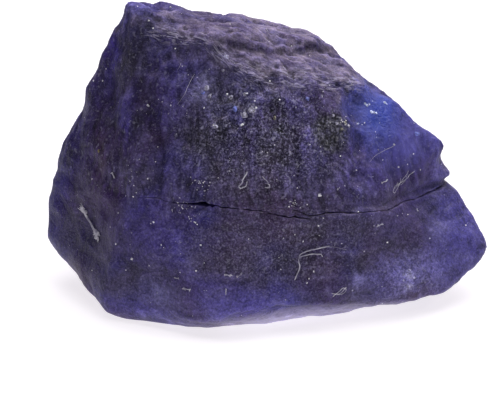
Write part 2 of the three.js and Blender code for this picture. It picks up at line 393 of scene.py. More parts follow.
# middle and reach in mm, colour, share of it at the middle, and how crisp its outline is
CLOUDS = [
    # the upper storey: the left flank, with its dark and red streaks and the blue one
    ((-13, 0, 14), (4, 5, 8), "#2a2050", 0.8, 2),
    ((-10.8, -1.5, 21), (1.8, 2.5, 3), "#2d293e", 0.85, 3),
    ((-8.8, -3.7, 16.5), (0.7, 1.5, 6), "#26142f", 0.85, 3),
    ((-13.4, -2, 13), (1, 2, 3.5), "#341a3c", 0.8, 2),
    ((-11.4, -3.2, 16.3), (0.8, 1.5, 2.4), "#382d74", 0.8, 3),
    ((-12.6, 0.2, 20.2), (0.9, 2, 2), "#382a84", 0.8, 2),
    # a painted highlight on the rim of the peak
    ((-11.6, 0.4, 24), (2, 2, 1.3), "#645d9e", 0.8, 2),
    ((-8, 1.8, 24.2), (2, 1.5, 0.8), "#3a3066", 0.8, 2),
    ((-7.4, -0.6, 23.3), (2.6, 2, 0.9), "#3b3450", 0.8, 2),
    ((-3.2, 2.2, 22.9), (2.2, 1.3, 1), "#3f3960", 0.8, 2),
    # the far left rim, painted nearly black blue: partly its own blue, partly painted shade
    ((-18, 2, 9), (1.9, 3.5, 5.5), "#120858", 0.92, 2),
    ((-16, 1, 13.5), (1.4, 3, 3.5), "#1f1450", 0.7, 2),
    # the middle of the upper storey: violet above, grey and nearly black patches below
    ((-6.3, -3, 20), (3.2, 3, 2.5), "#3d356c", 0.8, 2),
    ((-7.6, -4.5, 17.4), (1.6, 2, 2.5), "#3c3272", 0.8, 2),
    ((-3.9, -5, 18.2), (2.2, 2, 1.8), "#5c5780", 0.8, 2),
    ((-5.3, -5.8, 14.8), (2.2, 2, 2.2), "#45414f", 0.85, 3),
    ((-6.8, -6.5, 12), (2, 2, 1.6), "#4a4174", 0.8, 2),
    ((-2.2, -7, 12.6), (2, 2, 2), "#544b64", 0.8, 2),
    ((-0.6, -4.6, 19.6), (1.9, 2, 1.1), "#38354a", 0.85, 2),
    ((1.9, -4.7, 18.3), (2.4, 2, 1.5), "#463e7c", 0.85, 2),
    ((1.2, -6.1, 16.4), (0.7, 1.5, 0.8), "#131418", 0.95, 3),
    ((0.3, -5.2, 18.2), (0.7, 1.5, 0.8), "#1c1e20", 0.9, 3),
    ((-0.5, -6.7, 15.6), (0.8, 1.5, 0.9), "#191a24", 0.85, 3),
    ((1.6, -6.3, 13.6), (0.7, 1.5, 0.7), "#1b1b22", 0.8, 3),
    ((-3.6, -6.4, 16.2), (0.7, 1.5, 0.7), "#1e1e25", 0.8, 3),
    ((-2.4, -5.6, 18), (0.6, 1.5, 0.6), "#22222a", 0.75, 3),
    ((0.3, -6.7, 14.6), (1.8, 2, 1.8), "#3a3548", 0.75, 2),
    ((3.2, -5.6, 15.6), (0.5, 1.5, 2.4), "#5a5190", 0.85, 2),
    ((-1.1, -7, 14.4), (0.5, 1.5, 2.2), "#584e86", 0.8, 2),
    ((5.3, -4.7, 17.9), (1.8, 2, 1), "#3f3666", 0.8, 2),
    ((2.7, -3.4, 19.3), (1.3, 1.5, 0.7), "#5b5288", 0.7, 2),
    # a pale patch just behind the ridge, painted over the shade of the hollow there: painted light
    ((-2.8, -3.3, 21.3), (2, 1, 0.7), "#7a7090", 0.6, 2),
    # pale crystals under the skin
    ((-4.9, -4.4, 19.1), (1, 1.2, 0.9), "#8d88b8", 0.95, 2),
    ((-2.7, -5, 18.5), (0.5, 1, 0.4), "#7a7790", 0.7, 3),
    ((-1.6, -5.8, 17.6), (0.5, 1, 0.5), "#76738a", 0.7, 3),
    ((-2.6, -5.5, 17.9), (0.3, 1, 0.3), "#5c66b8", 0.8, 3),
    # the inclusion: a dark, green grey grain of another mineral that the break went through
    (*INCLUSION, "#3c3b45", 0.97, INCLUSION_CRISPNESS),
    # the right of the upper storey: a clean blue window, and violet below it
    ((10.6, -2, 14), (3.6, 3.5, 2.6), "#4a4798", 0.85, 3),
    ((7.6, -0.6, 17.6), (1.6, 2.5, 1.1), "#46468c", 0.8, 3),
    ((8.9, -1.8, 15.7), (2.8, 3.5, 2.8), "#454d9e", 0.9, 5),
    ((9.2, -1.4, 15.9), (1.3, 2.5, 0.9), "#3c4cac", 0.8, 3),
    ((12, -1.5, 13.4), (2.3, 3, 1.5), "#5a569e", 0.8, 2),
    ((8, -4.9, 12.2), (2.8, 2.5, 1.6), "#4a4180", 0.8, 2),
    ((4, -6.5, 12), (2.2, 2, 1.4), "#4e4670", 0.7, 2),
    ((14.2, -0.5, 10.2), (1.3, 2, 1.2), "#625a9c", 0.7, 2),
    # the lower storey, from the left to the tip
    ((-17.2, 1.3, 9), (1.2, 2, 2.5), "#453c84", 0.35, 2),
    ((-15, -3.5, 4.8), (2.8, 3.5, 2.4), "#1c1342", 0.92, 2),
    ((-12.8, -4.6, 9.4), (1.6, 2.5, 1.6), "#331f4e", 0.85, 2),
    ((-8.6, -8.3, 8.2), (2.8, 2.5, 2.2), "#483d84", 0.9, 2),
    ((-7, -8.8, 7.2), (0.7, 1.5, 1.2), "#524aa0", 0.8, 2),
    ((-5.2, -8, 9.5), (1, 1.5, 0.7), "#3b3786", 0.8, 2),
    ((-5.4, -7.8, 11.3), (0.8, 1.2, 0.5), "#1c1a58", 0.8, 2),
    ((-5.3, -9.6, 6.2), (1.5, 2, 1.2), "#504870", 0.8, 2),
    ((-2.4, -9, 8.3), (2, 2.5, 2.4), "#4a3e5e", 0.85, 2),
    ((2, -8.6, 8.6), (2.8, 2.5, 1.2), "#483a5a", 0.85, 2),
    ((1.3, -8.8, 5.8), (2.4, 2, 1.3), "#342f48", 0.9, 3),
    ((4.6, -8.5, 5.2), (1.6, 2, 1.3), "#4e405e", 0.8, 2),
    ((8.8, -7.2, 7.3), (1.4, 2, 1.6), "#46365a", 0.75, 2),
    ((10.2, -6.2, 7), (2.6, 2.5, 1.6), "#433c60", 0.75, 2),
    ((12.5, -5, 8.2), (2.6, 3, 1.2), "#3e3670", 0.8, 2),
    ((11.4, -6.6, 4), (3.6, 2.5, 1.6), "#7670b4", 0.9, 3),
    ((14.2, -4.8, 4), (1.6, 2.5, 1.8), "#6c66ac", 0.7, 2),
    # two small pale marks on the lower bulge: painted glints
    ((11.8, -6.5, 4.1), (0.5, 1.2, 0.4), "#a8a4d4", 0.85, 3),
    ((11.6, -6.8, 2.9), (0.4, 1.2, 0.35), "#b0acd8", 0.85, 3),
    ((7.4, -8.1, 4.2), (0.6, 1.2, 0.6), "#8580bc", 0.7, 3),
    ((14.6, -4.6, 6.6), (0.6, 1.5, 0.6), "#8580b4", 0.6, 2),
    ((16.2, -2.4, 5.6), (2.8, 4, 3.6), "#4e4890", 0.9, 3),
    ((6.3, -8, 8.2), (1.7, 2, 1.7), "#3f3850", 0.85, 2),
    ((0, -9.6, 4.7), (2.6, 2, 1), "#433b62", 0.8, 2),
    # the edge round the foot
    ((-8.6, -9, 3.2), (1.4, 1.5, 0.9), "#706ca0", 0.8, 2),
    ((-10.8, -7.9, 3.1), (1, 1.5, 1), "#443e66", 0.8, 2),
    ((-10, -8.5, 1.4), (4.5, 3, 1), "#4e4790", 0.85, 2),
    ((-2, -10.9, 3), (3.4, 1.8, 1.5), "#524b96", 0.95, 3),
    ((-5, -9.9, 4.6), (2.8, 2, 0.9), "#544b92", 0.75, 2),
    ((-4.8, -10.4, 3.2), (2.4, 2, 0.9), "#5a5298", 0.75, 2),
    ((2, -9.9, 2.9), (1.6, 1.5, 0.9), "#48448a", 0.85, 2),
]
# where neither dust nor painted sheen lies on the top: middle and reach in mm
BARE_OF_DUST_AND_SHEEN = [
    ((10.4, -1, 15.2), (4.8, 5, 3.8)),
    ((-10.6, 1, 24.6), (2, 2.2, 1.6)),
    ((-8, 2.6, 24.2), (2.6, 1.2, 1)),
    ((-3.2, 2.2, 22.9), (1.5, 0.9, 0.8)),
    ((-6.2, 1.4, 23.4), (1.4, 0.8, 0.6)),
    ((5, -3.8, 17.4), (1.5, 1.3, 1.1)),
]


def washed(tint, share, colour):
    """The colours of all places, with this share of another over each."""
    return tint + share[:, None] * (np.array(linear(colour)) - tint)


def lit_foot(places, normals):
    """The share of the floor's glow, painted on as light, in each place: most under the overhang at
    the front.
    """
    facing_down = np.clip(-1.8 * normals[:, 2], 0, 1) * np.clip(1.2 - places[:, 2] / 1.7, 0, 1)
    towards_front = np.clip(-0.5 - places[:, 1] / 6, 0, 1)
    return facing_down * towards_front * np.interp(places[:, 0], [-5, 1, 10, 14], [0.1, 1, 1, 0.3])


def stone_tint(places, normals):
    """The colour of each place on the stone, before its fine veins and specks."""
    wide, small = (np.array([ripple(p, size, size, size) for p in places]) for size in VEIL_SIZES)
    tint = np.tile(linear(CLEAN_BLUE), (len(places), 1))
    tint = washed(tint, np.clip(0.5 + 1.6 * wide, 0, 1), VIOLET_BROWN)
    tint = washed(tint, np.clip(0.3 + 1.5 * small, 0, 1), GREY_SILK)
    wandering = places + OUTLINE_WANDER * np.column_stack([small, wide, np.roll(small, 7)])
    for middle, reach, colour, share, crispness in CLOUDS:
        tint = washed(tint, share * nearness(wandering, middle, reach, crispness), colour)
    # dust, and a painted sheen with it, lies in patches on what faces up, and thinner towards the
    # peak
    steepest = np.interp(ridge_frame(places)[0], [0.0, 0.8], [0.55, 0.15])
    facing_up = np.clip((normals[:, 2] - steepest) / 0.35, 0, 1)
    facing_up *= np.clip(places[:, 2] / 8 - 0.8, 0, 1)
    patches = np.array([ripple(p, 1.3, 0.8, 1.3) + 0.6 * ripple(p, 0.5, 0.4, 0.5) for p in places])
    thickness = np.interp(places[:, 0], [-10, -6, -2], [0.1, 0.3, 0.62])
    dust_and_sheen = facing_up * np.clip(thickness + 0.8 * patches, 0, 1)
    for middle, reach in BARE_OF_DUST_AND_SHEEN:
        dust_and_sheen *= 1 - nearness(wandering, middle, reach, 6)
    tint = washed(tint, dust_and_sheen, TOP_DUST_AND_SHEEN)
    # painted shade at the foot of the step, and painted light where the floor shines into the thin
    # edge over it
    from_ledge = ledge_frame(places + 0.4 * small[:, None])[0]
    tint = washed(tint, 0.55 * np.exp(-((from_ledge / 0.42) ** 2)), LEDGE_PAINTED_SHADE)
    return washed(tint, lit_foot(places, normals), FLOOR_GLOW)


places, normals = places_of(stone.data), normals_of(stone.data)
tint = stone_tint(places, normals)
# painted shade: the walls of the crack, what lies deeper than the skin, are painted dark
depths = np.array([whole_tree.find_nearest(Vector(place) * MM)[3] / MM for place in places])
tint = washed(tint, np.clip(depths / CRACK_SHADE_DEPTH, 0, 1), CRACK_PAINTED_SHADE)
upper = np.clip(places[:, 2] - 9.5, 0, 1)
steep = np.clip((0.75 - normals[:, 2]) / 0.25, 0, 1)
# the nest of small crystals in the upper storey, and two sparser ones in the lower
nests = [
    nearness(places, (-0.5, -6, 15.5), (6, 4, 4.5), 3),
    nearness(places, (0.5, -8.5, 7.2), (8, 3.5, 3.6), 3) * 0.4,
    nearness(places, (11, -6.6, 3.8), (3.5, 3, 2), 3) * 0.35,
]
window = nearness(places, WINDOW, (2.2, 3, 2), 4)
below_window = nearness(places, (11.2, -1.8, 13), (3.8, 4, 3.4), 3)
foot = lit_foot(places, normals)
behind, frayed = ridge_frame(places)
shares = {
    "flutes": upper * steep,
    "topside": upper * (1 - steep),
    "nest": np.maximum.reduce(nests),
    "frayed": frayed,
    "window": window,
    # no veils, grain or specks on the clean window and below it, nor on the foot where the floor's
    # glow is painted
    "clean": np.maximum.reduce([0.8 * window, 0.6 * below_window, foot]),
    "veiled": np.interp(places[:, 0], [-16, -9], [0.1, 1.0]),
    "inclusion": nearness(places, *INCLUSION, INCLUSION_CRISPNESS),
}


def set_attribute(mesh, name, kind, field, values):
    """Writes one value for each vertex of a mesh, for its material to read."""
    attribute = mesh.attributes.new(name, kind, "POINT")
    attribute.data.foreach_set(field, np.asarray(values, dtype=np.float32).ravel())


set_attribute(stone.data, "tint", "FLOAT_COLOR", "color", tint)
for name, share in shares.items():
    set_attribute(stone.data, name, "FLOAT", "value", share)
along_ridge = np.column_stack([places[:, 0], behind, np.zeros(len(behind))])
set_attribute(stone.data, "along_ridge", "FLOAT_VECTOR", "vector", along_ridge)


def add(material, kind, inputs=(), out=0, **settings):
    """Adds a shader node and gives one of its outputs. Its inputs, in order or by name, are values
    or other nodes' outputs."""
    node = material.node_tree.nodes.new("ShaderNode" + kind)
    for name, value in settings.items():
        setattr(node, name, value)
    for name, value in inputs.items() if isinstance(inputs, dict) else enumerate(inputs):
        if isinstance(value, bpy.types.NodeSocket):
            material.node_tree.links.new(value, node.inputs[name])
        else:
            node.inputs[name].default_value = value
    return node.outputs[out]


def new_material(name, **constants):
    """A material and its shader, with what is the same all over it set on the shader."""
    material = bpy.data.materials.new(name)
    material.use_nodes = True
    shader = material.node_tree.nodes["Principled BSDF"]
    for socket, value in constants.items():
        shader.inputs[socket.replace("_", " ")].default_value = value
    return material, shader


def in_millimetres(material):
    """The place that is being shaded, in millimetres."""
    in_metres = add(material, "TexCoord", out="Object")
    return add(material, "VectorMath", {0: in_metres, "Scale": 1 / MM}, operation="SCALE")


corundum, shader = new_material(
    "corundum_broken_and_worn",
    IOR=1.77,
    Specular_IOR_Level=0.1,
    Subsurface_Weight=0.25,
    Subsurface_Radius=(0.25, 0.25, 1.0),
    Subsurface_Scale=0.8 * MM,
)
body = add(corundum, "Attribute", out="Color", attribute_name="tint")
along_ridge = add(corundum, "Attribute", out="Vector", attribute_name="along_ridge")
where = {name: add(corundum, "Attribute", out="Fac", attribute_name=name) for name in shares}
unclean = add(corundum, "Math", (1.0, where["clean"]), operation="SUBTRACT")
spot = in_millimetres(corundum)


def coated(under, coat, *shares, blend_type="MIX"):
    """The stone's colour under a coat, which shows by the product of its shares."""
    share = shares[0]
    for other in shares[1:]:
        share = add(corundum, "Math", (share, other), operation="MULTIPLY")
    return add(corundum, "MixRGB", (share, under, coat), blend_type=blend_type)


# The patterns are laid out in millimetres, so a scale says how many lumps there are in one.

# cloudy veils of silk about 2 mm across, pale or dark
veils = {"Vector": spot, "Scale": 0.7, "Detail": 5.0, "Roughness": 0.6, "Distortion": 0.6}
veil = add(corundum, "TexNoise", veils)
pale = add(corundum, "MapRange", (veil, 0.52, 0.72, 0.0, 0.4))
body = coated(body, linear("#7a74a8"), pale, unclean, where["veiled"])
dark = add(corundum, "MapRange", (veil, 0.49, 0.3, 0.0, 1.0))
dark_most = add(corundum, "MapRange", (where["nest"], 0.0, 1.0, 0.55, 0.7))
body = coated(body, linear("#16151b"), dark, dark_most, unclean)

# growth streaks down the upper storey, 0.5 mm wide and 5 mm long
down = add(corundum, "VectorMath", (spot, (1.9, 1.9, 0.2)), operation="MULTIPLY")
streaks = {"Vector": down, "Scale": 1.0, "Detail": 2.0, "Distortion": 0.4}
streak = add(corundum, "MapRange", (add(corundum, "TexNoise", streaks), 0.35, 0.65, 0.6, 1.4))
body = coated(body, streak, where["flutes"], unclean, blend_type="MULTIPLY")

# the grain of the break: pits and bruises of 0.1 to 0.3 mm, strongest in the nest of crystals
grains = {"Vector": spot, "Scale": 4.5, "Detail": 3.0, "Roughness": 0.75}
grain = add(corundum, "TexNoise", grains)
fine = add(corundum, "MapRange", (grain, 0.35, 0.65, 0.62, 1.4))
strong = add(corundum, "MapRange", (grain, 0.37, 0.6, 0.28, 1.5))
pitted = add(corundum, "MixRGB", (where["nest"], fine, strong))
body = coated(body, pitted, unclean, blend_type="MULTIPLY")
bruise = add(corundum, "MapRange", (grain, 0.54, 0.7, 0.0, 0.6))
body = coated(body, linear("#8c88a4"), bruise, where["nest"], unclean)

# the finest roughness, 0.1 mm across, which glitters a little: the glitter is painted highlight
sand = add(corundum, "TexNoise", {"Vector": spot, "Scale": 6.5, "Detail": 1.0})
sand_most = add(corundum, "MapRange", (where["nest"], 0.0, 1.0, 0.2, 1.0))
rough = add(corundum, "MapRange", (sand, 0.38, 0.58, 0.5, 1.25))
body = coated(body, rough, sand_most, unclean, blend_type="MULTIPLY")
painted_glints = add(corundum, "MapRange", (sand, 0.58, 0.7, 0.0, 0.7))
body = coated(body, linear("#9a96b0"), painted_glints, sand_most, unclean)

# hair cracks and the edges of tiny breaks: pale lines that wind about
windings = {"Vector": spot, "Scale": 2.3, "Detail": 2.0, "Distortion": 1.2}
winding = add(corundum, "TexNoise", windings)
off_line = add(corundum, "Math", (winding, 0.5), operation="SUBTRACT")
off_line = add(corundum, "Math", (off_line,), operation="ABSOLUTE")
line = add(corundum, "MapRange", (off_line, 0.0, 0.02, 0.5, 0.0))
line_most = add(corundum, "MapRange", (where["nest"], 0.0, 1.0, 0.35, 1.0))
body = coated(body, linear("#8a86a6"), line, line_most, unclean)

# bruised crystals, 0.1 to 0.3 mm across: pale specks, thickest in the nest
specks = add(corundum, "TexNoise", {"Vector": spot, "Scale": 3.6, "Detail": 0.0})
speck = add(corundum, "MapRange", (specks, 0.69, 0.78, 0.0, 0.85))
few = add(corundum, "Math", (where["flutes"], 0.3), operation="MULTIPLY")
speck_most = add(corundum, "Math", (few, where["nest"]), operation="MAXIMUM")
body = coated(body, linear("#a5a2bc"), speck, speck_most, unclean)

# the inclusion is a dark green grey mass with paler grains in it
mottle = add(corundum, "TexNoise", {"Vector": spot, "Scale": 5.0, "Detail": 1.0, "Roughness": 0.4})
pale_grain = add(corundum, "MapRange", (mottle, 0.56, 0.66, 0.0, 0.75))
body = coated(body, linear("#84838d"), pale_grain, where["inclusion"])
dark_grain = add(corundum, "MapRange", (mottle, 0.46, 0.38, 0.0, 0.8))
body = coated(body, linear("#1b1c1e"), dark_grain, where["inclusion"])

# the frayed ridge at the front of the top: pale fibres 0.3 mm wide that run along it, with painted
# shade in the grooves between them
combed = add(corundum, "VectorMath", (along_ridge, (1.0, 2.8, 1.0)), operation="MULTIPLY")
fibres = {"Vector": combed, "Scale": 1.2, "Detail": 4.0, "Roughness": 0.6, "Distortion": 1.2}
fray = add(corundum, "TexNoise", fibres)
pale_fibre = add(corundum, "MapRange", (fray, 0.52, 0.62, 0.0, 0.75))
body = coated(body, linear("#a7a0bb"), pale_fibre, where["frayed"])
groove_shade = add(corundum, "MapRange", (fray, 0.45, 0.36, 0.0, 0.5))
body = coated(body, linear("#2b2640"), groove_shade, where["frayed"])

# worn edges are paler, and hollows are painted darker: painted shade
edges = add(corundum, "NewGeometry", out="Pointiness")
worn_and_shaded = add(corundum, "MapRange", (edges, 0.44, 0.56, 0.62, 1.6))
body = coated(body, worn_and_shaded, 1.0, blend_type="MULTIPLY")
corundum.node_tree.links.new(body, shader.inputs["Base Color"])

# waxy, dull with dust on the top, and glossy on the clean blue window
gloss = add(corundum, "MapRange", (grain, 0.3, 0.7, 0.38, 0.56))
for place, roughness in (("topside", 0.9), ("window", 0.28)):
    all_over = (roughness, roughness, roughness, 1)
    gloss = add(corundum, "MixRGB", (where[place], gloss, all_over))
corundum.node_tree.links.new(gloss, shader.inputs["Roughness"])

# pits, veils, fibres, and in the window dents 0.3 mm across that catch the light
dents = {"Vector": spot, "Scale": 2.8, "Detail": 2.0, "Roughness": 0.6, "Distortion": 1.0}
dent = add(corundum, "TexNoise", dents)
surface = {}
for pattern, place, depth in (
    (grain, unclean, 0.07),
    (veil, unclean, 0.3),
    (fray, where["frayed"], 0.3),
    (dent, where["window"], 0.22),
):
    height = add(corundum, "Math", (pattern, place), operation="MULTIPLY")
    bump = {"Strength": 1.0, "Distance": depth * MM, "Height": height}
    surface = {"Normal": add(corundum, "Bump", surface | bump)}
corundum.node_tree.links.new(surface["Normal"], shader.inputs["Normal"])
stone.data.materials.clear()
stone.data.materials.append(corundum)


# ---- The crystals in the face ----
# Where the break ran through a nest of small crystals, their ends stand out of it: grey white and
# pale blue corundum, up to 0.8 mm across, with most of each still in the stone it grew in.

# some bits in the list below are painted glints rather than crystal ends: the pale blue ones on the
# window
GREY_WHITE, GREEN_GREY, LILAC, PALE_BLUE = "#a19eb4", "#a5a498", "#b4b0d4", "#6a72be"
FRESH_WHITE_AND_GLINT, PAINTED_GLINT_BLUE, STRAW, RUSTY = "#fbfaff", "#c8d0f4", "#8b8779", "#655b3c"
# across and up on the front in mm, half width in mm, colour
CRYSTALS = [
    (-4.8, 19.1, 0.26, GREY_WHITE),
    (-4.6, 18.5, 0.24, GREY_WHITE),
    (-5.1, 18.8, 0.19, PALE_BLUE),
    (-2.9, 18.5, 0.29, GREY_WHITE),
    (-2.6, 17.9, 0.36, PALE_BLUE),
    (-1.8, 17.4, 0.31, GREY_WHITE),
    # white bits on the nest: small crystal ends that also stand in for its sparkle, partly painted
    # highlight
    (-2.0, 16.7, 0.17, FRESH_WHITE_AND_GLINT),
    (-0.9, 18.0, 0.11, FRESH_WHITE_AND_GLINT),
    (-3.2, 18.75, 0.11, FRESH_WHITE_AND_GLINT),
    (-4.3, 16.6, 0.12, FRESH_WHITE_AND_GLINT),
    (-1.0, 18.5, 0.08, FRESH_WHITE_AND_GLINT),
    (-1.6, 19.0, 0.09, FRESH_WHITE_AND_GLINT),
    (-0.4, 14.7, 0.06, FRESH_WHITE_AND_GLINT),
    (-4.5, 18.65, 0.08, FRESH_WHITE_AND_GLINT),
    (-4.1, 16.5, 0.22, GREY_WHITE),
    (-1.8, 18.9, 0.18, GREY_WHITE),
    (-1.2, 17.8, 0.34, GREY_WHITE),
    (3.2, 18.2, 0.20, PALE_BLUE),
    (4.4, 18.2, 0.14, GREY_WHITE),
    (0.6, 17.1, 0.19, STRAW),
    (-3.3, 21.4, 0.24, LILAC),
    (5.3, 16.7, 0.20, GREY_WHITE),
    (5.9, 16.4, 0.18, GREY_WHITE),
    (6.3, 16.0, 0.17, GREEN_GREY),
    (6.0, 15.6, 0.16, GREEN_GREY),
    (5.6, 16.1, 0.13, GREY_WHITE),
    (6.6, 15.7, 0.14, GREY_WHITE),
    (12.3, 13.8, 0.24, PALE_BLUE),
    # painted glints: pale blue bits on the window that stand in for its glints
    (8.0, 16.65, 0.12, PAINTED_GLINT_BLUE),
    (8.15, 16.5, 0.17, PAINTED_GLINT_BLUE),
    (8.35, 16.55, 0.13, PAINTED_GLINT_BLUE),
    (8.6, 16.7, 0.07, PAINTED_GLINT_BLUE),
    (8.5, 16.05, 0.17, PAINTED_GLINT_BLUE),
    (8.7, 15.98, 0.18, PAINTED_GLINT_BLUE),
    (8.9, 15.9, 0.13, PAINTED_GLINT_BLUE),
    (9.65, 16.35, 0.18, PAINTED_GLINT_BLUE),
    (9.8, 16.25, 0.11, PAINTED_GLINT_BLUE),
    (7.4, 15.5, 0.11, PAINTED_GLINT_BLUE),
    (7.7, 15.4, 0.07, PAINTED_GLINT_BLUE),
    (8.9, 14.4, 0.07, PAINTED_GLINT_BLUE),
    (-13.7, 12.9, 0.19, RUSTY),
    (11.6, 4.2, 0.15, LILAC),
    (12.0, 3.6, 0.13, LILAC),
    (11.5, 2.9, 0.16, LILAC),
    (11.1, 3.5, 0.10, LILAC),
    (13.3, 6.2, 0.12, LILAC),
    (6.9, 3.2, 0.10, LILAC),
]


SUNK = 0.5  # how far a crystal's middle is under the skin, as a share of its half width
SQUASH = (0.75, 1.1)  # its least and most half width along an axis, as shares of that
LUMPINESS = 0.35  # how far its lumps stand out, as a share of it

skin_tree = BVHTree.FromObject(stone, bpy.context.evaluated_depsgraph_get())


def on_front(across, up):
    """The place on the front of the stone at this x and z, and the way out of it."""
    start = Vector((across, -PAST_STONE, up)) * MM
    place, normal = skin_tree.ray_cast(start, Vector((0, 1, 0)))[:2]
    return place / MM, normal


def rounded_bit(mesh, middle, half_width, dice):
    """Adds a worn lump of about this half width, in mm, to a mesh that is being built."""
    squash = [dice.uniform(*SQUASH) for _ in range(3)]
    for vert in bmesh.ops.create_icosphere(mesh, subdivisions=2, radius=1)["verts"]:
        lump = half_width * (1 + LUMPINESS * noise.noise(vert.co * 1.3 + middle))
        vert.co = (middle + Vector([lump * way * size for way, size in zip(vert.co, squash)])) * MM


def piece_from(mesh, name, material):
    """A finished object on the stone from a mesh that was being built."""
    data = bpy.data.meshes.new(name)
    mesh.to_mesh(data)
    data.materials.append(material)
    piece = placed(name, data)
    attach(piece, "root")
    return piece


def crystal_material(number, colour):
    """Glassy corundum with fog in it: the ends of crystals, as they grew, and the bits that stand in
    for glints. The fog brightens its colour up to 1.9 times in spots: painted glints.
    """
    name = "corundum_crystal_as_grown_%d" % number
    material, glass = new_material(name, Roughness=0.5, IOR=1.77, Specular_IOR_Level=0.25)
    fogging = {"Vector": in_millimetres(material), "Scale": 5.0, "Detail": 2.0}
    fog_and_glint = add(material, "TexNoise", fogging)
    share = add(material, "MapRange", (fog_and_glint, 0.35, 0.65, 0.3, 1.9))
    fogged_and_glinting = add(material, "MixRGB", (1.0, linear(colour), share), blend_type="MULTIPLY")
    material.node_tree.links.new(fogged_and_glinting, glass.inputs["Base Color"])
    return material


dice = random.Random(3)
crystal_colours = sorted({colour for *_, colour in CRYSTALS})
for number, colour in enumerate(crystal_colours):
    crystals = bmesh.new()
    for across, up, half_width, own_colour in CRYSTALS:
        if own_colour == colour:
            place, outward = on_front(across, up)
            rounded_bit(crystals, place - outward * SUNK * half_width, half_width, dice)
    piece_from(crystals, "crystals_%d" % number, crystal_material(number, colour))


# ---- The dust ----
# Grit from the tray that the stone is kept in: pale, matt mineral grains up to 0.4 mm across. It
# sticks in the pits of the face and round the mouth of the crack, and lies scattered all over.

# across and up on the front in mm, and half width in mm, of the grains that catch the eye
GRAINS = [
    (4.2, 11.05, 0.19),
    (2.3, 10.5, 0.10),
    (2.05, 10.6, 0.08),
    (2.65, 10.3, 0.08),
    (1.8, 10.75, 0.06),
    (-5.0, 11.6, 0.09),
    (5.7, 11.35, 0.10),
    (-10.9, 5.7, 0.12),
    (-9.6, 17.4, 0.10),
    (-7.9, 17.0, 0.09),
    (-7.7, 17.7, 0.08),
    (-8.4, 17.9, 0.06),
    (-7.4, 21.7, 0.07),
    (-6.8, 20.6, 0.06),
    (-13.4, 18.0, 0.08),
    (-11.0, 16.1, 0.06),
    (-3.5, 20.5, 0.12),
    (-11.0, 11.7, 0.07),
    (-10.7, 11.5, 0.06),
    (-11.7, 11.1, 0.07),
    (-11.4, 10.4, 0.09),
    (-9.6, 12.1, 0.07),
    (-12.0, 9.0, 0.07),
    (-9.1, 9.0, 0.11),
    (-5.8, 9.1, 0.11),
    (-10.9, 7.9, 0.08),
    (-12.2, 6.7, 0.09),
    (-8.5, 7.3, 0.08),
    (-8.3, 7.1, 0.05),
    (-9.5, 5.4, 0.06),
    (-11.4, 4.7, 0.07),
    (-5.7, 5.6, 0.09),
    (-14.3, 3.6, 0.07),
    (4.2, 8.0, 0.07),
    (2.9, 7.5, 0.09),
    (2.2, 8.1, 0.06),
    (7.8, 6.4, 0.07),
    (12.3, 8.2, 0.07),
    (4.4, 6.3, 0.07),
    (1.1, 5.3, 0.07),
    (3.2, 4.2, 0.08),
    (10.3, 13.6, 0.12),
    (9.0, 13.5, 0.07),
    (12.0, 12.4, 0.07),
    (10.7, 11.8, 0.09),
    (7.9, 15.5, 0.08),
    (7.3, 15.5, 0.07),
    (3.4, 14.9, 0.06),
    (4.3, 14.2, 0.07),
    (5.9, 13.6, 0.07),
    (0.0, 14.6, 0.06),
    (2.4, 11.7, 0.06),
]
# the middle and half length of each drift of fine grit in mm, its grains, and its coarsest one
DRIFTS = [
    (-6.6, 10.35, 1.1, 34, 0.055),
    (-6.3, 9.4, 0.6, 7, 0.05),
    (2.3, 10.5, 0.45, 18, 0.06),
    (-5.4, 12.2, 0.8, 24, 0.075),
    (5.9, 16.1, 0.8, 14, 0.07),
]
SCATTERED = 360
FINEST, COARSEST = 0.025, 0.095  # half widths of scattered grains in mm
GRAIN_LIFT = 0.3  # how far a grain's middle is off the skin, as a share of its half width
BIT_CORNERS = 11  # the most corners that a grain has
BIT_REACH = (0.8, 1.15)  # how far they are from its middle, as shares of its half width


def broken_bit(mesh, middle, half_width, dice):
    """Adds an angular bit of about this half width, in mm, to a mesh that is being built."""
    corners = []
    for _ in range(BIT_CORNERS):
        way = Vector([dice.gauss(0, 1) for _ in range(3)]).normalized()
        corner = middle + way * half_width * dice.uniform(*BIT_REACH)
        corners.append(mesh.verts.new(corner * MM))
    hull = bmesh.ops.convex_hull(mesh, input=corners)
    inside = [corner for corner in hull["geom_interior"] if isinstance(corner, bmesh.types.BMVert)]
    bmesh.ops.delete(mesh, geom=inside, context="VERTS")


def two_toned(name, patches, soiled_between, tones, roughness):
    """A matt material that is soiled in soft patches: its tones are the fresh and the soiled."""
    material, matt = new_material(name, Roughness=roughness)
    patch = add(material, "TexNoise", {"Vector": in_millimetres(material), **patches})
    share = add(material, "MapRange", (patch, *soiled_between, 0.0, 1.0))
    tone = add(material, "MixRGB", (share, *map(linear, tones)))
    material.node_tree.links.new(tone, matt.inputs["Base Color"])
    return material


# quartz white where it is fresh, and grey violet where it has picked up the stone's own powder
grit = two_toned(
    "mineral_grit_pale_matt",
    patches={"Scale": 1.3, "Detail": 1.0},
    soiled_between=(0.52, 0.62),
    tones=("#fbfaff", "#8d88a2"),
    roughness=0.6,
)

dice = random.Random(11)
dust = bmesh.new()
for across, up, half_width in GRAINS:
    place, outward = on_front(across, up)
    broken_bit(dust, place + outward * GRAIN_LIFT * half_width, half_width, dice)
for across, up, half_length, count, coarsest in DRIFTS:
    for _ in range(count):
        strewn = dice.gauss(across, half_length / 2), dice.gauss(up, half_length / 3)
        place, outward = on_front(*strewn)
        half_width = dice.uniform(FINEST, coarsest)
        broken_bit(dust, place + outward * GRAIN_LIFT * half_width, half_width, dice)
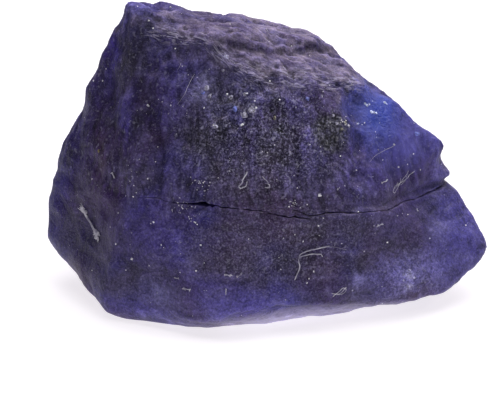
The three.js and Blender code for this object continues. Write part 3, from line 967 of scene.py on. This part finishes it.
# the rest lies anywhere but at the foot and straight underneath: in patches of 1.5 mm, which are
# thickest round the nest of crystals
faces = np.array([(*face.center, *face.normal, face.area) for face in stone.data.polygons])
middles, outwards, areas = faces[:, :3] / MM, faces[:, 3:6], faces[:, 6]
chance = areas * (0.4 + 1.6 * nearness(middles, (-1.0, -6.5, 13.0), (9.0, 4.0, 7.0), 2))
chance *= (middles[:, 2] > BARE_FOOT) * np.clip(outwards[:, 2] + 0.9, 0, 1)
chance *= [0.15 + max(0, 2 * ripple(place, 1.5, 1.5, 1.5)) for place in middles]
steps = np.cumsum(chance) / chance.sum()
for _ in range(SCATTERED):
    face = int(np.searchsorted(steps, dice.random()))
    half_width = FINEST + (COARSEST - FINEST) * dice.random() ** 3
    middle = Vector(middles[face]) + Vector(outwards[face]) * GRAIN_LIFT * half_width
    broken_bit(dust, middle, half_width, dice)
piece_from(dust, "dust", grit)


# ---- The lint ----
# Cotton from the cloth that the stone was wiped with, caught on its rough face: single fibres and
# curls 0.03 to 0.09 mm thick, and a scrap of fluff on the left, drawn out between two knots.

# each fibre: its half thickness in mm, and its route as across, up and height off the stone
FIBRES = [
    (0.045, [(2.2, 4.5, 0), (2.45, 5.0, 0.1), (2.6, 5.5, 0.15), (2.5, 6.0, 0.15), (2.6, 6.35, 0.1)]),
    (0.045, [(2.55, 6.2, 0.1), (2.65, 6.5, 0.1), (3.4, 6.75, 0.1), (4.3, 6.98, 0.1), (5.0, 7.08, 0)]),
    (0.014, [(4.8, 7.05, 0.1), (5.6, 6.95, 0.05), (6.4, 6.75, 0)]),
    (0.04, [(2.6, 6.3, 0.1), (3.1, 6.4, 0.1), (3.7, 6.48, 0.1), (4.4, 6.45, 0)]),
    # two curls above the crack
    (
        0.045,
        [(-1.6, 13.2, 0), (-2.0, 12.5, 0.2), (-2.25, 12.15, 0.2)]
        + [(-2.05, 12.0, 0.1), (-1.75, 12.2, 0.1), (-1.6, 12.5, 0)],
    ),
    (0.042, [(-0.4, 12.9, 0), (0.0, 12.5, 0.2), (0.15, 12.1, 0.2), (-0.2, 12.05, 0)]),
    # a curl near the foot
    (
        0.03,
        [(5.3, 2.9, 0), (5.7, 3.3, 0.1), (6.1, 3.6, 0.1)]
        + [(6.35, 3.4, 0.1), (6.1, 3.1, 0.1), (5.7, 3.0, 0)],
    ),
    (0.03, [(5.2, 3.2, 0), (5.8, 3.15, 0.1), (6.4, 3.6, 0)]),
    # a tangle under the window
    (0.02, [(12.1, 11.1, 0), (11.2, 10.65, 0.05), (10.5, 10.4, 0)]),
    (0.016, [(11.6, 11.2, 0), (11.0, 10.7, 0.05), (10.6, 10.2, 0.05), (10.3, 9.9, 0)]),
    (0.016, [(10.9, 10.9, 0), (10.8, 10.5, 0.05), (10.35, 10.25, 0)]),
    (0.014, [(11.4, 10.95, 0), (11.25, 10.6, 0.05), (10.9, 10.35, 0)]),
    (0.016, [(10.7, 10.6, 0), (10.3, 10.3, 0.05), (10.25, 10.05, 0.03), (10.5, 9.95, 0)]),
    # the finest, here and there on the upper storey
    (0.014, [(10.3, 13.5, 0), (8.9, 13.2, 0.03), (8.3, 12.8, 0)]),
    (0.015, [(2.4, 13.3, 0), (2.7, 13.55, 0.03), (3.0, 13.7, 0)]),
    (0.015, [(-5.8, 20.1, 0), (-6.2, 19.5, 0.03), (-6.7, 18.5, 0.03), (-7.2, 17.8, 0)]),
    (0.015, [(-6.9, 20.8, 0), (-7.05, 20.5, 0.03), (-7.2, 20.3, 0)]),
    (0.025, [(-0.9, 14.6, 0), (-0.75, 14.2, 0.1), (-0.45, 14.3, 0)]),
]
# the scraps of fluff: the two knots, across and up in mm, the half width of a knot, how many
# fibres run from knot to knot, and how many are tangled in them
SCRAPS = [
    ((-15.0, 7.6), (-13.9, 6.5), 0.25, 3, 20),
    ((-15.15, 7.75), (-14.9, 7.55), 0.22, 1, 14),
    ((-13.85, 6.2), (-13.8, 6.55), 0.25, 1, 16),
    ((-12.55, 11.7), (-12.4, 11.5), 0.12, 1, 6),
    ((-3.3, 5.4), (-2.9, 5.4), 0.12, 1, 6),
    ((-2.4, 5.2), (-2.1, 5.4), 0.12, 1, 5),
    ((-6.6, 4.0), (-6.2, 4.0), 0.12, 1, 6),
    ((-3.3, 4.3), (-3.3, 3.9), 0.05, 1, 3),
    ((-7.4, 4.7), (-7.1, 4.7), 0.08, 1, 4),
    ((8.9, 8.15), (9.3, 8.2), 0.08, 1, 5),
    ((9.3, 11.1), (9.7, 11.2), 0.07, 1, 4),
]
FLUFF_HALF_THICKNESS = 0.034  # of its fibres, in mm
FIBRE_SIDES = 6
FIBRE_STEP = 0.08  # mm from one ring of a fibre to the next
FIBRE_END = 0.5  # the thickness of its two ends, as a share of the rest
OFF_THE_FRONT = Vector((0, -1, 0.4))  # the way out of the front, near enough


def fibre_route(stops):
    """Even steps along a smooth curve through the stops, laid on the front of the stone."""
    stops = [stops[0], *stops, stops[-1]]
    route = []
    for four_stops in zip(stops, stops[1:], stops[2:], stops[3:]):
        before, start, end, after = (Vector(stop) for stop in four_stops)
        bend = before - 2.5 * start + 2 * end - after / 2
        easing = 1.5 * (start - end) + (after - before) / 2
        count = max(2, round((end - start).length / FIBRE_STEP))
        for step in range(count):
            share = step / count
            line = start + (end - before) * share / 2
            route.append(line + bend * share * share + easing * share**3)
    route.append(Vector(stops[-1]))
    laid = []
    for across, up, height in route:
        place, outward = on_front(across, up)
        laid.append(place + outward * height)
    return laid


def fibre(mesh, route, half_thickness):
    """Adds a fibre along a route, in mm, to a mesh that is being built. Its ends are thinner."""
    rings = []
    for number, place in enumerate(route):
        ahead = (route[min(number + 1, len(route) - 1)] - route[max(number - 1, 0)]).normalized()
        side = ahead.cross(Vector((0.3, -1, 0.4))).normalized()
        over = side.cross(ahead)
        radius = half_thickness * (FIBRE_END if number in (0, len(route) - 1) else 1)
        centre = place + OFF_THE_FRONT * half_thickness
        turns = (2 * math.pi * corner / FIBRE_SIDES for corner in range(FIBRE_SIDES))
        ring = [centre + radius * (math.cos(turn) * side + math.sin(turn) * over) for turn in turns]
        rings.append([mesh.verts.new(point * MM) for point in ring])
    for one, two in zip(rings, rings[1:]):
        for here in range(FIBRE_SIDES):
            onward = (here + 1) % FIBRE_SIDES
            mesh.faces.new((one[here], one[onward], two[onward], two[here]))
    mesh.faces.new(rings[0][::-1])
    mesh.faces.new(rings[-1])


# bleached white, and soiled grey violet in stretches
cotton = two_toned(
    "cotton_fibre_bleached",
    patches={"Scale": 1.5, "Detail": 2.0},
    soiled_between=(0.35, 0.65),
    tones=("#d2cfda", "#8a859e"),
    roughness=0.9,
)

lint = bmesh.new()
for half_thickness, stops in FIBRES:
    fibre(lint, fibre_route(stops), half_thickness)
bmesh.ops.recalc_face_normals(lint, faces=lint.faces)
piece_from(lint, "lint_fibres", cotton)

dice = random.Random(5)
fluff = bmesh.new()
for start, end, half_width, drawn_out, tangled in SCRAPS:
    for number in range(drawn_out + tangled):
        # some run from knot to knot, and the rest stick out of one knot on both sides
        if number < drawn_out:
            ends = start, end
            stray = 0.15 * half_width
        else:
            middle = start if number % 2 else end
            way, length = dice.uniform(0, math.pi), half_width * dice.uniform(0.4, 1.2)
            reach = math.cos(way) * length, math.sin(way) * length
            ends = [(middle[0] + sign * reach[0], middle[1] + sign * reach[1]) for sign in (-1, 1)]
            stray = 0.3 * half_width
        stops = []
        for share in (0.0, 0.35, 0.65, 1.0):
            across, up = (one + (two - one) * share for one, two in zip(*ends))
            lift = dice.uniform(0.1, 0.6) * half_width
            stops.append((across + dice.gauss(0, stray), up + dice.gauss(0, stray), lift))
        fibre(fluff, fibre_route(stops), FLUFF_HALF_THICKNESS)
bmesh.ops.recalc_face_normals(fluff, faces=fluff.faces)
piece_from(fluff, "fluff", cotton)


# ---- The floor, the light and the camera ----
# White paper with a painted glow, a softbox over it, a pale panel behind it, and a small lamp on
# the right. The glow is a painted pool of light: it keeps the paper white right up to the stone, and
# fades out round about.

FLOOR_HALF = 1.2  # half its width in metres
GLOW_MIDDLE = (0, 0.03, 0)  # in metres
GLOW_SHAPE = (1.7, 1, 1)  # how much narrower the glow is along each axis
GLOW_NEAR, GLOW_FAR = 0.07, 0.13  # metres from its middle where it is full, and where least
GLOW_MOST, GLOW_LEAST = 0.78, 0.1
ROOM_LIGHT = 0.03  # the strength of the white all round
floor_mesh = bpy.data.meshes.new("floor")
corners = [(x * FLOOR_HALF, y * FLOOR_HALF, 0) for x, y in ((-1, -1), (1, -1), (1, 1), (-1, 1))]
floor_mesh.from_pydata(corners, [], [(0, 1, 2, 3)])
floor = placed("floor", floor_mesh)
paper, paper_shader = new_material(
    "white_paper_with_painted_glow",
    Base_Color=linear("#a8a7aa"),
    Roughness=1.0,
    Specular_IOR_Level=0.0,
    Emission_Color=linear("#fffbff"),
)
# the glow is brightest round the stone and fades away from it: a painted pool of light
from_middle = add(
    paper, "VectorMath", (add(paper, "TexCoord", out="Object"), GLOW_MIDDLE), operation="SUBTRACT"
)
from_middle = add(paper, "VectorMath", (from_middle, GLOW_SHAPE), operation="MULTIPLY")
distance = add(paper, "VectorMath", (from_middle,), out="Value", operation="LENGTH")
glow = add(paper, "MapRange", (distance, GLOW_NEAR, GLOW_FAR, GLOW_MOST, GLOW_LEAST))
paper.node_tree.links.new(glow, paper_shader.inputs["Emission Strength"])
floor_mesh.materials.append(paper)

world = bpy.data.worlds.new("studio")
bpy.context.scene.world = world
world.use_nodes = True
background = world.node_tree.nodes["Background"]
background.inputs["Color"].default_value = (1, 1, 1, 1)
background.inputs["Strength"].default_value = ROOM_LIGHT

LIT_PLACE = (0, 0, 0.01)  # the place in the stone that the lights face
# each light: its place and the width of its square in metres, its power in watts, and its colour
LIGHTS = {
    "softbox_above": ((0.03, 0.08, 0.32), 0.35, 1.6, "#ffffff"),
    "panel_behind": ((0.12, 0.50, 0.24), 0.4, 0.65, "#fff6fb"),
    "lamp_right": ((0.35, -0.04, 0.32), 0.08, 0.25, "#ffffff"),
}
for name, (place, width, power, colour) in LIGHTS.items():
    light = bpy.data.lights.new(name, "AREA")
    light.size = width
    light.energy = power
    light.color = linear(colour)[:3]
    lamp = placed(name, light)
    lamp.location = place
    lamp.rotation_euler = (Vector(LIT_PLACE) - Vector(place)).to_track_quat("-Z", "Y").to_euler()

CAMERA_ELEVATION = math.radians(22)
CAMERA_DISTANCE = 230 * MM
CAMERA_LENS = 205.3  # mm, on a sensor 36 mm wide
# the middle of the view: a place in the stone, and how far below it in the view, in mm
VIEW_MIDDLE, VIEW_DROP = Vector((-1.86, 0, 10.0)), 2.15
camera_data = bpy.data.cameras.new("camera")
camera_data.sensor_width = 36
camera_data.lens = CAMERA_LENS
camera_data.clip_start = 0.01
camera = placed("camera", camera_data)
backward = Vector((0, -math.cos(CAMERA_ELEVATION), math.sin(CAMERA_ELEVATION)))
upward = Vector((0, math.sin(CAMERA_ELEVATION), math.cos(CAMERA_ELEVATION)))
aim = (VIEW_MIDDLE - upward * VIEW_DROP) * MM
camera.location = aim + backward * CAMERA_DISTANCE
camera.rotation_euler = backward.to_track_quat("Z", "Y").to_euler()
bpy.context.scene.camera = camera
bpy.context.scene.view_settings.view_transform = "Standard"
